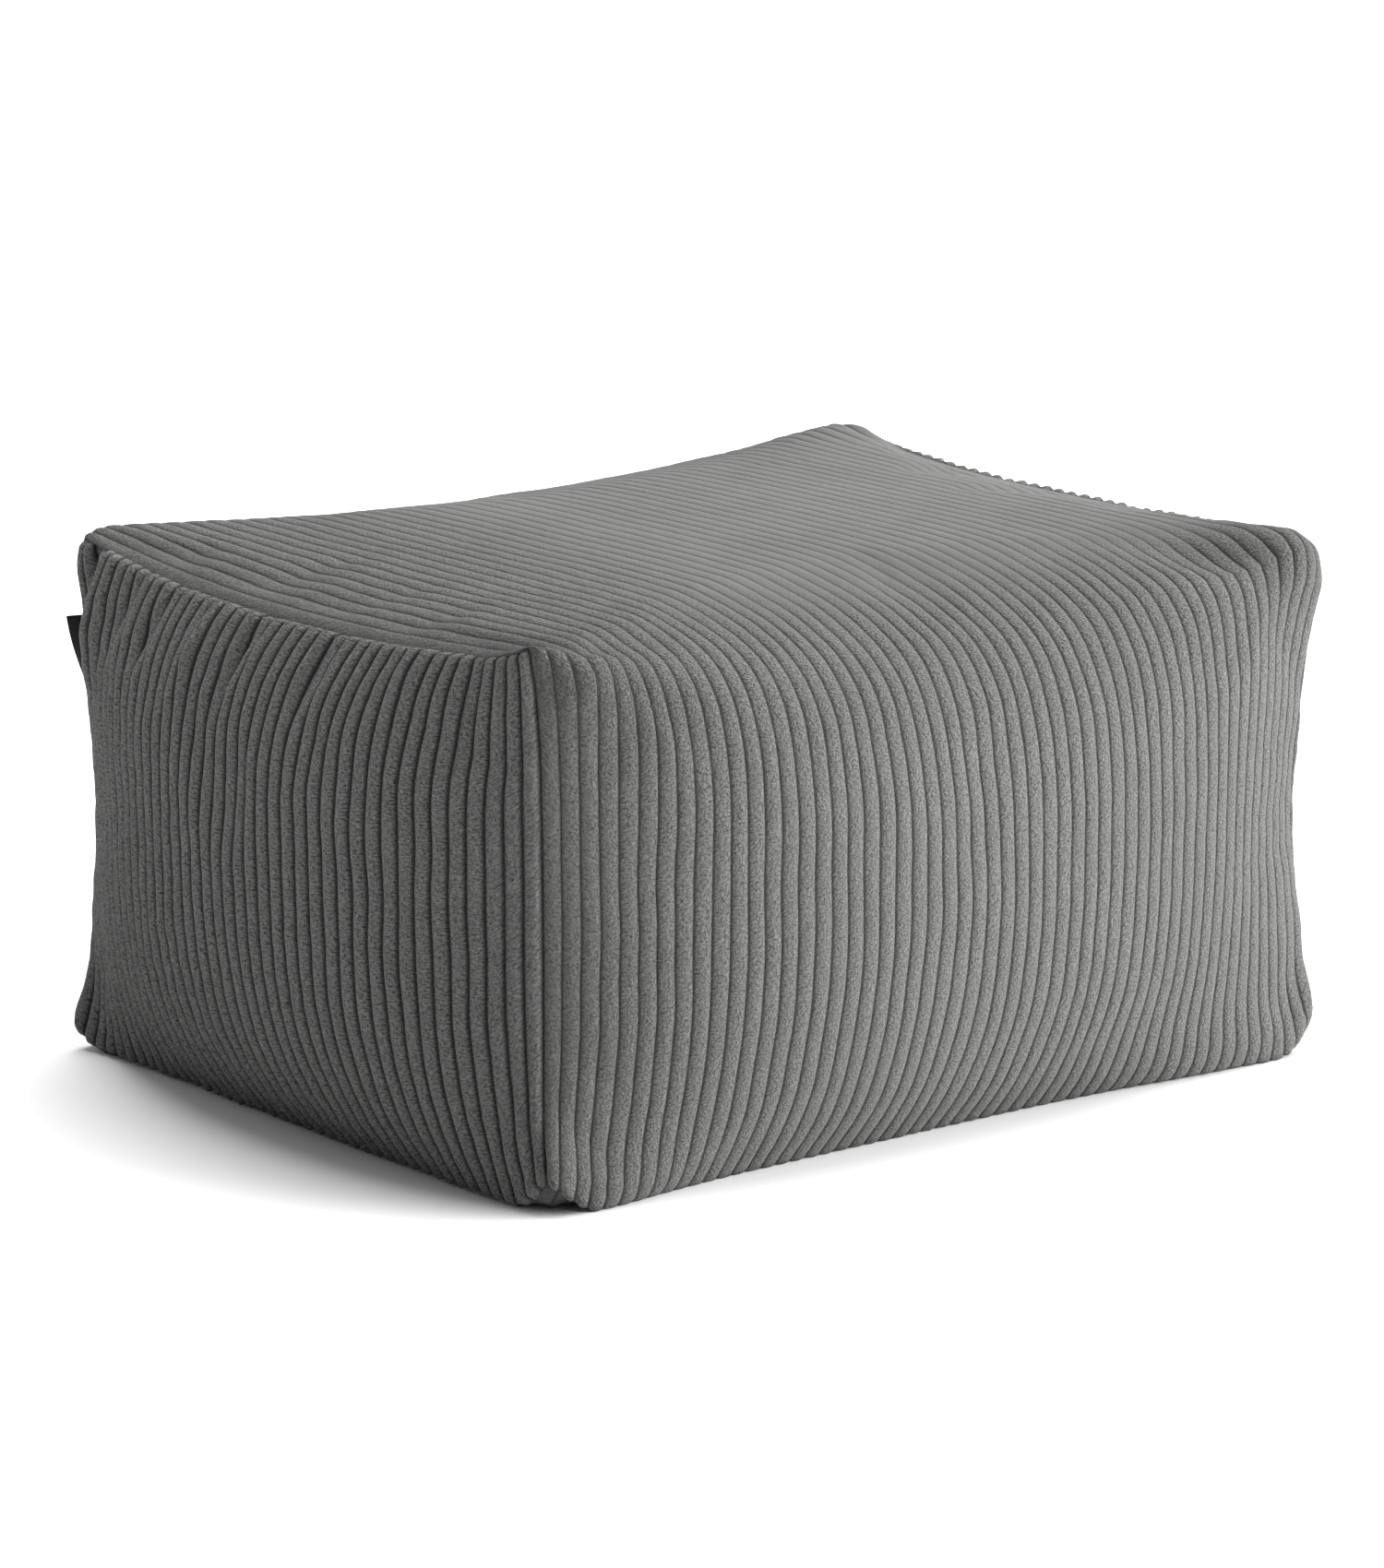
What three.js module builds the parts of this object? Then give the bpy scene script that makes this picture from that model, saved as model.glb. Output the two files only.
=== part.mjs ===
import * as THREE from "three";
import { mergeVertices } from "three/addons/utils/BufferGeometryUtils.js";

// A bead-filled corduroy pouf. X runs along its length, Y through its depth with the front at -Y,
// and Z is up from the floor. Sizes are in millimetres.

// Between the tips of the eight sewn corners.
const cornerLength = 642;
const cornerDepth = 512;
const cornerHeight = 350;
const midHeight = cornerHeight / 2;

// How far each face swells past the corners, and how far each seam is drawn in or pushed out.
const swell = { front: 51, end: 52, top: 4 };
const uprightSeamIn = { x: 11, y: 12 };
const topSeam = { out: 13, dip: 10 };
const baseSeamIn = 8;

// Shape of the curves: a higher number is flatter in the middle and turns later.
const curve = { plan: 2.6, end: 2.55, low: 2.7, endTop: 3.7, seam: 14 };
// The unsewn edges between the top and the front or back. The right front one stays round for longer.
const fold = { roundest: 4.2, fade: 2.1, fadeRightFront: 3.6 };

// The corners are not quite even. x, y and z say which corner, and tip is how high it is sewn;
// dx, dy and dz move it, and a higher reach keeps the move closer to it.
const corners = [
  { x: -1, y: -1, z: 1, tip: 350, dx: -2, dy: 4, dz: 10, reach: 9 },
  { x: 1, y: -1, z: 1, tip: 350, dx: 12, dy: -7, dz: 3, reach: 3 },
  { x: 1, y: 1, z: 1, tip: 350, dx: 20, dy: -7, dz: 6, reach: 3 },
  { x: -1, y: 1, z: 1, tip: 350, dx: 2, dy: -2, dz: 4, reach: 3.5 },
  { x: -1, y: -1, z: -1, tip: 22, dx: 0, dy: -3, dz: 0, reach: 8 },
  { x: 1, y: -1, z: -1, tip: 12, dx: 1, dy: -13, dz: 0, reach: 5 },
  { x: 1, y: 1, z: -1, tip: 14, dx: 2, dy: 2, dz: 0, reach: 8 },
  { x: -1, y: 1, z: -1, tip: 10, dx: -11, dy: 4, dz: 0, reach: 6 },
];

// Soft cuts make the tips blunt. A cut faces out along the corner's diagonal, rising or falling as
// rise says; it starts its depth in from the tip, and what lies past it fades into the cap.
const cuts = [
  { corner: 0, rise: 0.7, depth: 8, cap: 7 },
  { corner: 1, rise: 1.1, depth: 38, cap: 20 },
  { corner: 2, rise: 0.8, depth: 17, cap: 12 },
  { corner: 3, rise: 1, depth: 21, cap: 16 },
  { corner: 4, rise: -0.9, depth: 8, cap: 8 },
  { corner: 5, rise: -0.2, depth: 13, cap: 9 },
  { corner: 5, rise: -1.4, depth: 7, cap: 6 },
  { corner: 6, rise: -0.2, depth: 9, cap: 8 },
  { corner: 6, rise: -1.4, depth: 8, cap: 7 },
  { corner: 7, rise: -0.1, depth: 10, cap: 8 },
  { corner: 7, rise: -1.5, depth: 8, cap: 7 },
];

// Cloth: the ribs stand proud of the smooth form, and each rib is one wale of the corduroy.
const rib = { bandCount: 54, endCount: 42, height: 2.2, stepsEach: 2 };
const rumple = { end: 0.06, band: 0.01 }; // ribs sit a little closer together near the upright seams
const panelThickness = 5;
const baseThickness = 3;
const gap = 0.3;
const lapped = panelThickness + gap; // the body stops this far short of the end panels' faces

// Where the plain grids have their lines, as shares of the half length, half depth or height.
const across = [-1, -0.95, -0.87, -0.7, -0.52, -0.35, -0.17, 0, 0.17, 0.35, 0.52, 0.7, 0.87, 0.95, 1];
const along = [-1, -0.95, -0.87, -0.58, -0.29, 0, 0.29, 0.58, 0.87, 0.95, 1];
const upright = [-1, -0.93, -0.8, -0.55, -0.28, 0, 0.28, 0.55, 0.78, 0.92, 1];
const ramp = { start: 0.87, curve: 2.8 }; // the base starts to rise to its corners here

const label = { height: 50, out: 13, thickness: 1.6, middle: 270, fromSeam: 0.9, lean: -0.06 };

const corduroy = { color: 0x6f7170, roughness: 0.95, metalness: 0 };
const undersideCloth = { color: 0x4d4f4f, roughness: 0.95, metalness: 0 };
const wovenTape = { color: 0x1b1b1c, roughness: 0.8, metalness: 0 };

const clamp01 = (t) => Math.min(1, Math.max(0, t));
const lerp = (from, to, share) => from + (to - from) * share;

function cornerShift(a, b, c) {
  const shift = new THREE.Vector3();
  for (const corner of corners) {
    const near = clamp01(a * corner.x) * clamp01(b * corner.y) * clamp01(c * corner.z);
    shift.addScaledVector(new THREE.Vector3(corner.dx, corner.dy, corner.dz), near ** corner.reach);
  }
  return shift;
}

// Draws a point that lies past a cut of its corner back along the diagonal, less and less.
function blunted(point) {
  for (const { corner, rise, depth, cap } of cuts) {
    const { x, y, tip, dx, dy, dz } = corners[corner];
    const end = new THREE.Vector3((x * cornerLength) / 2 + dx, (y * cornerDepth) / 2 + dy, tip + dz);
    const out = new THREE.Vector3(x, y, rise).normalize();
    const past = point.clone().sub(end).dot(out) + depth;
    if (past > 0) point.addScaledVector(out, cap * (1 - Math.exp(-past / cap)) - past);
  }
  return point;
}

// Height of the underside: flat on the floor, curving up to the tips of the low corners.
function undersideLift(a, b) {
  const rampA = clamp01((Math.abs(a) - ramp.start) / (1 - ramp.start));
  const rampB = clamp01((Math.abs(b) - ramp.start) / (1 - ramp.start));
  const corner = corners.find(({ x, y, z }) => z < 0 && x * a >= 0 && y * b >= 0);
  return (corner.tip - baseThickness) * (rampA * rampB) ** ramp.curve;
}

// The band's smooth form. a runs along the length; (b, c) goes up the front at b = -1,
// over the top at c = 1 and down the back at b = 1.
function bandPoint(a, b, c) {
  const endness = Math.abs(a);
  const inFromSeam = 1 - endness ** curve.plan;
  const up = Math.max(0, c);
  const low = Math.max(0, -c);
  const onTop = c >= 1 ? 1 : 0;
  const rightFront = b < 0.5 ? clamp01(a) : 0;
  const fade = lerp(fold.fade, fold.fadeRightFront, rightFront);
  const sharp = (1 - endness ** fade) / fold.roundest;
  const larger = Math.max(Math.abs(b), up);
  const smaller = Math.min(Math.abs(b), up);
  const pulledIn = sharp < 1e-3 || smaller < 1e-6 ? 1 : (1 + (smaller / larger) ** (1 / sharp)) ** -sharp;
  const half =
    cornerDepth / 2 +
    swell.front * inFromSeam * (1 - low ** curve.low) -
    baseSeamIn * (1 - endness ** curve.seam) * low ** curve.low -
    uprightSeamIn.y * (1 - c * c) * (1 - inFromSeam);
  const crown = cornerHeight + swell.top * (1 - a * a) - topSeam.dip * (1 - b * b) * a ** 4 * onTop;
  const floor = baseThickness + gap + undersideLift(a, b);
  const x =
    a * (cornerLength / 2 - lapped - uprightSeamIn.x * (1 - c * c) * a * a) +
    Math.sign(a) * topSeam.out * (1 - b * b) * a ** 4;
  const z = c < 0 ? lerp(midHeight, floor, low) : lerp(midHeight, crown, pulledIn * up);
  return blunted(new THREE.Vector3(x, b * pulledIn * half, z).add(cornerShift(a, b, c)));
}

// An end's smooth form. side is -1 or 1, b runs across the depth and c up the height.
function endPoint(side, b, c, inward = 0) {
  const low = Math.max(0, -c);
  const up = Math.max(0, c);
  const inFromSeam = 1 - Math.abs(b) ** curve.end;
  const rise = c < 0 ? 1 - low ** curve.low : 1 - up ** curve.endTop;
  const x =
    cornerLength / 2 +
    (swell.end + uprightSeamIn.x) * inFromSeam * rise -
    uprightSeamIn.x * (1 - c * c) +
    topSeam.out * (1 - b * b) * up ** 2 -
    baseSeamIn * (1 - Math.abs(b) ** curve.seam) * low ** curve.low;
  const top = cornerHeight - topSeam.dip * (1 - b * b);
  const floor = baseThickness + gap + undersideLift(side, b);
  const z = c < 0 ? lerp(midHeight, floor, low) : lerp(midHeight, top, up);
  const y = b * (cornerDepth / 2 - uprightSeamIn.y * (1 - c * c));
  return blunted(new THREE.Vector3(side * (x - inward), y, z).add(cornerShift(side, b, c)));
}

function undersidePoint(a, b, height) {
  const seamInX = baseSeamIn * (1 - Math.abs(b) ** curve.seam);
  const seamInY = baseSeamIn * (1 - Math.abs(a) ** curve.seam);
  const x = a * (cornerLength / 2 - lapped - seamInX);
  const y = b * (cornerDepth / 2 - seamInY);
  return blunted(new THREE.Vector3(x, y, height + undersideLift(a, b)).add(cornerShift(a, b, -1)));
}

// Moves a point of a smooth form out by its share of the rib height.
function ribbed(formAt, u, v, raised) {
  const step = 1e-3;
  const alongU = formAt(Math.min(1, u + step), v).sub(formAt(Math.max(-1, u - step), v));
  const alongV = formAt(u, v + step).sub(formAt(u, v - step));
  const out = alongU.cross(alongV).normalize();
  return formAt(u, v).addScaledVector(out, rib.height * raised);
}

// Spots along one row of ribs: u from -1 to 1, raised 1 on a crest and 0 in a groove.
function ribSpots(count, crowding) {
  const spots = [];
  for (let i = 0; i <= count * rib.stepsEach; i++) {
    const even = -1 + (2 * i) / (count * rib.stepsEach);
    const raised = Math.abs(Math.sin((Math.PI * i) / rib.stepsEach));
    spots.push({ u: even * (1 + crowding * (1 - even * even)), raised });
  }
  return spots;
}

// Collects the triangles of one closed solid.
class Skin {
  constructor() {
    this.corners = [];
  }
  triangle(p, q, r) {
    if (p.distanceTo(q) > 1e-3 && q.distanceTo(r) > 1e-3 && r.distanceTo(p) > 1e-3)
      this.corners.push(p, q, r);
  }
  // Rows of points, each row as long as the next; turned faces the other way.
  grid(rows, turned = false) {
    for (let i = 0; i + 1 < rows.length; i++) this.strip(rows[i], rows[i + 1], turned);
  }
  strip(first, second, turned = false) {
    for (let j = 0; j + 1 < first.length; j++) {
      const [p, q, r, s] = [first[j], first[j + 1], second[j + 1], second[j]];
      if (turned) {
        this.triangle(p, r, q);
        this.triangle(p, s, r);
      } else {
        this.triangle(p, q, r);
        this.triangle(p, r, s);
      }
    }
  }
  // Joins a fine edge to a coarse one that spans the same way, nearest points first.
  stitch(fine, coarse, turned = false) {
    let i = 0;
    let j = 0;
    const share = (n, line) => n / (line.length - 1);
    while (i < fine.length - 1 || j < coarse.length - 1) {
      const fineNext = i < fine.length - 1 && share(i + 1, fine) <= share(j + 1, coarse) + 1e-9;
      const [p, q] = [fine[i], coarse[j]];
      const r = fineNext || j === coarse.length - 1 ? fine[++i] : coarse[++j];
      if (turned) this.triangle(p, q, r);
      else this.triangle(p, r, q);
    }
  }
  mesh(name, finish) {
    const loose = new THREE.BufferGeometry().setFromPoints(this.corners);
    const geometry = mergeVertices(loose, 1e-3);
    geometry.computeVertexNormals();
    const mesh = new THREE.Mesh(geometry, new THREE.MeshStandardMaterial(finish));
    mesh.name = name;
    return mesh;
  }
}

// The way round the band from the front base seam over the top to the back one, v from 0 to 3.
function aroundBand(v) {
  if (v <= 1) return { b: -1, c: -1 + 2 * v };
  if (v <= 2) return { b: -1 + 2 * (v - 1), c: 1 };
  return { b: 1, c: 1 - 2 * (v - 2) };
}

const bandStops = [
  ...upright.map((c) => (c + 1) / 2),
  ...across.slice(1).map((b) => 1 + (b + 1) / 2),
  ...upright.slice(0, -1).reverse().map((c) => 2 + (1 - c) / 2),
];

const bandSpots = ribSpots(rib.bandCount, rumple.band);
const bandForm = (u, v) => {
  const { b, c } = aroundBand(Math.min(3, Math.max(0, v)));
  return bandPoint(u, b, c);
};
const fadeAtBase = (v) => (v <= 0 || v >= 3 ? 0 : 1);

function bandRows() {
  return bandStops.map((v) =>
    bandSpots.map((spot) => ribbed(bandForm, spot.u, v, spot.raised * fadeAtBase(v))),
  );
}

function endSheet(side, inward) {
  return upright.map((c) => across.map((b) => endPoint(side, b, c, inward)));
}

// The underside at one height: a ribbed band's fine front and back edges, joined to a plain grid.
function addUnderside(skin, height, turned) {
  const fineEdge = (b) => bandSpots.map((spot) => undersidePoint(spot.u, b, height));
  const rows = across.slice(1, -1).map((b) => along.map((a) => undersidePoint(a, b, height)));
  skin.stitch(fineEdge(-1), rows[0], !turned);
  skin.grid(rows, !turned);
  skin.stitch(fineEdge(1), rows[rows.length - 1], turned);
}

function makeMainBand() {
  const skin = new Skin();
  skin.grid(bandRows());
  skin.grid(endSheet(-1, lapped), true);
  skin.grid(endSheet(1, lapped));
  addUnderside(skin, baseThickness + gap, false);
  return skin.mesh("main_band", corduroy);
}

function makeEndPanel(name, side) {
  const skin = new Skin();
  const turned = side < 0;
  const spots = ribSpots(rib.endCount, rumple.end);
  const form = (u, v) => endPoint(side, u, Math.min(1, Math.max(-1, v)));
  const outer = upright.map((c, row) =>
    spots.map((spot) => ribbed(form, spot.u, c, row === 0 ? 0 : spot.raised * side)),
  );
  const inner = endSheet(side, panelThickness);
  const last = upright.length - 1;
  const column = (rows, index) => rows.map((row) => row[index]);
  skin.grid(outer, turned);
  skin.grid(inner, !turned);
  skin.strip(column(outer, 0), column(inner, 0), turned);
  skin.strip(column(outer, spots.length - 1), column(inner, across.length - 1), !turned);
  skin.stitch(outer[0], inner[0], !turned);
  skin.stitch(outer[last], inner[last], turned);
  return skin.mesh(name, corduroy);
}

function makeBasePanel() {
  const skin = new Skin();
  addUnderside(skin, baseThickness, true);
  addUnderside(skin, 0, false);
  const edge = (b, height) => bandSpots.map((spot) => undersidePoint(spot.u, b, height));
  const side = (a, height) => across.map((b) => undersidePoint(a, b, height));
  skin.strip(edge(-1, 0), edge(-1, baseThickness));
  skin.strip(edge(1, 0), edge(1, baseThickness), true);
  skin.strip(side(-1, 0), side(-1, baseThickness), true);
  skin.strip(side(1, 0), side(1, baseThickness));
  return skin.mesh("base_panel", undersideCloth);
}

// A bare folded tab of woven tape, caught in the upright seam between the left end and the back.
function makeLabelTab() {
  const outline = new THREE.Shape();
  const half = label.thickness / 2;
  outline.moveTo(0, -half);
  outline.lineTo(label.out - half, -half);
  outline.absarc(label.out - half, 0, half, -Math.PI / 2, Math.PI / 2);
  outline.lineTo(0, half);
  outline.closePath();
  const geometry = new THREE.ExtrudeGeometry(outline, {
    depth: label.height,
    bevelEnabled: false,
    curveSegments: 4,
  });
  const mesh = new THREE.Mesh(geometry, new THREE.MeshStandardMaterial(wovenTape));
  const seamAt = (z) => endPoint(-1, 1, (z - midHeight) / (cornerHeight - midHeight));
  const low = seamAt(label.middle - label.height / 2);
  const high = seamAt(label.middle + label.height / 2);
  const upward = high.clone().sub(low).applyAxisAngle(new THREE.Vector3(1, 1, 0).normalize(), label.lean);
  upward.normalize();
  const sideways = upward.clone().cross(new THREE.Vector3(-1, 1, 0)).normalize();
  const outward = sideways.clone().cross(upward);
  const root = low.clone().addScaledVector(outward, label.fromSeam);
  mesh.matrixAutoUpdate = false;
  mesh.matrix.makeBasis(outward, sideways, upward).setPosition(root);
  mesh.name = "label_tab";
  return mesh;
}

const pouf = new THREE.Group();
pouf.add(makeMainBand());
pouf.add(makeEndPanel("end_panel_left", -1));
pouf.add(makeEndPanel("end_panel_right", 1));
pouf.add(makeBasePanel());
pouf.add(makeLabelTab());

export default pouf;
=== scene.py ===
import math

import bmesh
import bpy
import numpy as np
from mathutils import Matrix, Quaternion, Vector
from mathutils.kdtree import KDTree


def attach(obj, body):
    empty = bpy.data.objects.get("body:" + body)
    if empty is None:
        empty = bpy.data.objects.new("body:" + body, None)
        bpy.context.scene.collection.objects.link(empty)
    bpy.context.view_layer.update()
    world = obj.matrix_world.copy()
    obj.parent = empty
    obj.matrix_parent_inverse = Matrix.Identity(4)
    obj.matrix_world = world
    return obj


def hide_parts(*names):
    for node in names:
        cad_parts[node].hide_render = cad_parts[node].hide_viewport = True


# A bead-filled corduroy pouf around its CAD frame. The scene is in metres.
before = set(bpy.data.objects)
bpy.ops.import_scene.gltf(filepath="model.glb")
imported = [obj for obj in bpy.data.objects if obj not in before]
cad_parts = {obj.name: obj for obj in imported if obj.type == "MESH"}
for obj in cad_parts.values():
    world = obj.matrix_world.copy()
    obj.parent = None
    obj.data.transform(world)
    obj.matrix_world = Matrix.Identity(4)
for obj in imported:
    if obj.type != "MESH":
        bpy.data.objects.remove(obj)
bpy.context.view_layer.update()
mm = 0.001

# The camera stands where the photo was taken. Pixels are in the 1500 by 1700 frame.
camera = {
    "azimuth": -38.3,
    "elevation": 13.3,
    "distance": 4.227,
    "aimHeight": 0.175,
    "focalPixels": 6918.0,
    "centreX": 752.8,
    "centreY": 858.9,
    "frameWidth": 1500,
    "frameHeight": 1700,
    "sensor": 36.0,
}


def makeCamera():
    turn, rise = math.radians(camera["azimuth"]), math.radians(camera["elevation"])
    back = Vector((math.sin(turn) * math.cos(rise), -math.cos(turn) * math.cos(rise), math.sin(rise)))
    data = bpy.data.cameras.new("photoCamera")
    data.sensor_width = camera["sensor"]
    longSide = camera["frameHeight"]  # the sensor spans the longer side of a portrait frame
    data.lens = camera["focalPixels"] * camera["sensor"] / longSide
    data.shift_x = (camera["frameWidth"] / 2 - camera["centreX"]) / longSide
    data.shift_y = (camera["centreY"] - camera["frameHeight"] / 2) / longSide
    data.clip_end = 50
    eye = bpy.data.objects.new("photoCamera", data)
    bpy.context.scene.collection.objects.link(eye)
    eye.location = Vector((0, 0, camera["aimHeight"])) + back * camera["distance"]
    eye.rotation_euler = back.to_track_quat("Z", "Y").to_euler()
    bpy.context.scene.camera = eye


makeCamera()
print("camera placed")

# The form of the pouf, shared by all its panels. The form functions work in millimetres.
form = {
    "cornerLength": 642,
    "cornerDepth": 512,
    "cornerHeight": 350,
    "frontSwell": 51,
    "endSwell": 52,
    "topSwell": 4,
    "uprightInX": 11,
    "uprightInY": 12,
    "topSeamOut": 13,
    "topSeamDip": 10,
    "baseSeamIn": 8,
    "planCurve": 2.6,
    "endCurve": 2.55,
    "lowCurve": 2.7,
    "endTopCurve": 3.7,
    "seamCurve": 14,
    "foldRoundest": 4.2,
    "foldFadeLeft": 2.1,
    "foldFadeRight": 3.6,
    "rampStart": 0.87,
    "underside": 1.0,
}
# how high each corner is sewn, and how it is moved; a higher reach keeps the move closer to it
corners = [
    {"x": -1, "y": -1, "z": 1, "tip": 350, "move": (-2, 4, 10), "reach": 9},
    {"x": 1, "y": -1, "z": 1, "tip": 350, "move": (12, -7, 3), "reach": 3},
    {"x": 1, "y": 1, "z": 1, "tip": 350, "move": (20, -7, 6), "reach": 3},
    {"x": -1, "y": 1, "z": 1, "tip": 350, "move": (2, -2, 4), "reach": 3.5},
    {"x": -1, "y": -1, "z": -1, "tip": 25, "move": (0, -3, 0), "reach": 8, "rampCurve": 1.15},
    {"x": 1, "y": -1, "z": -1, "tip": 3, "move": (5, -16, 0), "reach": 2.5, "rampCurve": 3.2},
    {"x": 1, "y": 1, "z": -1, "tip": 14, "move": (2, 2, 0), "reach": 8, "rampCurve": 2},
    {"x": -1, "y": 1, "z": -1, "tip": 12, "move": (-11, 4, 0), "reach": 4.5, "rampCurve": 2.8},
]
# soft cuts make the tips blunt: a cut faces out along the diagonal of its corner, up or down by its
# rise, starts its depth in from the tip, and what lies past it fades into the cap
cuts = [
    {"corner": 0, "rise": 0.7, "depth": 8, "cap": 7},
    {"corner": 1, "rise": 1.1, "depth": 38, "cap": 20},
    {"corner": 2, "rise": 0.8, "depth": 17, "cap": 12},
    {"corner": 3, "rise": 1.0, "depth": 21, "cap": 16},
    {"corner": 4, "rise": -0.9, "depth": 8, "cap": 8},
    {"corner": 5, "rise": -0.2, "depth": 22, "cap": 7},
    {"corner": 5, "rise": -1.2, "depth": 29, "cap": 5},
    {"corner": 6, "rise": -0.2, "depth": 9, "cap": 8},
    {"corner": 6, "rise": -1.4, "depth": 8, "cap": 7},
    {"corner": 7, "rise": -0.1, "depth": 10, "cap": 8},
    {"corner": 7, "rise": -1.2, "depth": 13, "cap": 9},
]
# the near upright seam and the one opposite lie over a rounded edge
roundEdge = {"depth": 11, "cap": 8}
middle = form["cornerHeight"] / 2


def cornerShift(a, b, c):
    shift = np.zeros(np.broadcast(a, b, c).shape + (3,))
    for corner in corners:
        near = np.clip(a * corner["x"], 0, 1) * np.clip(b * corner["y"], 0, 1)
        near = near * np.clip(c * corner["z"], 0, 1)
        shift += (near ** corner["reach"])[..., None] * np.array(corner["move"], float)
    return shift


def undersideLift(a, b):
    # the underside rises to the tips of the low corners
    ramp = 1 - form["rampStart"]
    rampA = np.clip((np.abs(a) - form["rampStart"]) / ramp, 0, 1)
    rampB = np.clip((np.abs(b) - form["rampStart"]) / ramp, 0, 1)
    lift = np.zeros(np.broadcast(a, b).shape)
    for corner in corners[4:]:
        here = (a * corner["x"] > 0) * (b * corner["y"] > 0)
        lift = lift + here * (corner["tip"] - form["underside"]) * (rampA * rampB) ** corner["rampCurve"]
    return lift


def softCut(points, tip, out, depth, cap):
    # a point past the cut is drawn back, less and less
    out = np.array(out) / np.linalg.norm(out)
    past = np.maximum((points - tip) @ out + depth, 0)
    kept = cap * (1 - np.exp(-past / cap))
    return points + out * (kept - past)[..., None]


def bluntCorners(points):
    size = np.array([form["cornerLength"] / 2, form["cornerDepth"] / 2])
    for cut in cuts:
        corner = corners[cut["corner"]]
        side = np.array([corner["x"], corner["y"]])
        tip = np.append(side * size, corner["tip"]) + np.array(corner["move"])
        points = softCut(points, tip, (*side, cut["rise"]), cut["depth"], cut["cap"])
    drawnIn = np.clip(1 - ((points[..., 2:] - middle) / middle) ** 2, 0, 1)
    for side in (-1, 1):
        level = side * (size - drawnIn * np.array([form["uprightInX"], form["uprightInY"]]))
        seam = np.concatenate([level, points[..., 2:]], -1)
        points = softCut(points, seam, (side, side, 0), roundEdge["depth"], roundEdge["cap"])
    return points


def aroundBand(v):
    # v runs 0 to 3: up the front, over the top, down the back
    v = np.clip(v, 0, 3)
    b = np.where(v <= 1, -1.0, np.where(v <= 2, 2 * v - 3, 1.0))
    c = np.where(v <= 1, 2 * v - 1, np.where(v <= 2, 1.0, 5 - 2 * v))
    return b, c


def bandForm(a, v):
    b, c = aroundBand(v)
    endness = np.abs(a)
    inFromSeam = 1 - endness ** form["planCurve"]
    up, low = np.clip(c, 0, 1), np.clip(-c, 0, 1)
    fadeChange = form["foldFadeRight"] - form["foldFadeLeft"]
    fade = form["foldFadeLeft"] + fadeChange * np.clip(a, 0, 1) * (b < 0.5)
    sharp = np.maximum((1 - endness**fade) / form["foldRoundest"], 1e-3)
    larger, smaller = np.maximum(np.abs(b), up), np.minimum(np.abs(b), up)
    ratio = np.maximum(smaller / larger, 1e-9)
    pulledIn = np.exp(-sharp * np.log1p(np.exp(np.log(ratio) / sharp)))
    half = (
        form["cornerDepth"] / 2
        + form["frontSwell"] * inFromSeam * (1 - low ** form["lowCurve"])
        - form["baseSeamIn"] * (1 - endness ** form["seamCurve"]) * low ** form["lowCurve"]
        - form["uprightInY"] * (1 - c * c) * (1 - inFromSeam)
    )
    onTop = (c >= 1) * (1 - b * b)
    crown = form["cornerHeight"] + form["topSwell"] * (1 - a * a) - form["topSeamDip"] * onTop * a**4
    floor = form["underside"] + undersideLift(a, b)
    x = a * (form["cornerLength"] / 2 - form["uprightInX"] * (1 - c * c) * a * a)
    x = x + np.sign(a) * form["topSeamOut"] * (1 - b * b) * a**4
    z = np.where(c < 0, middle + (floor - middle) * low, middle + (crown - middle) * pulledIn * up)
    return bluntCorners(np.stack([x, b * pulledIn * half, z], -1) + cornerShift(a, b, c))


def endForm(side, b, c):
    low, up = np.clip(-c, 0, 1), np.clip(c, 0, 1)
    inFromSeam = 1 - np.abs(b) ** form["endCurve"]
    rise = np.where(c < 0, 1 - low ** form["lowCurve"], 1 - up ** form["endTopCurve"])
    x = (
        form["cornerLength"] / 2
        + (form["endSwell"] + form["uprightInX"]) * inFromSeam * rise
        - form["uprightInX"] * (1 - c * c)
        + form["topSeamOut"] * (1 - b * b) * up**2
        - form["baseSeamIn"] * (1 - np.abs(b) ** form["seamCurve"]) * low ** form["lowCurve"]
    )
    top = form["cornerHeight"] - form["topSeamDip"] * (1 - b * b)
    floor = form["underside"] + undersideLift(side, b)
    z = np.where(c < 0, middle + (floor - middle) * low, middle + (top - middle) * up)
    y = b * (form["cornerDepth"] / 2 - form["uprightInY"] * (1 - c * c))
    return bluntCorners(np.stack([side * x, y, z], -1) + cornerShift(side + 0 * b, b, c))


def baseForm(a, b):
    x = a * (form["cornerLength"] / 2 - form["baseSeamIn"] * (1 - np.abs(b) ** form["seamCurve"]))
    y = b * (form["cornerDepth"] / 2 - form["baseSeamIn"] * (1 - np.abs(a) ** form["seamCurve"]))
    z = form["underside"] + undersideLift(a, b)
    return bluntCorners(np.stack([x + 0 * b, y + 0 * a, z], -1) + cornerShift(a, b, -1))


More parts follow.
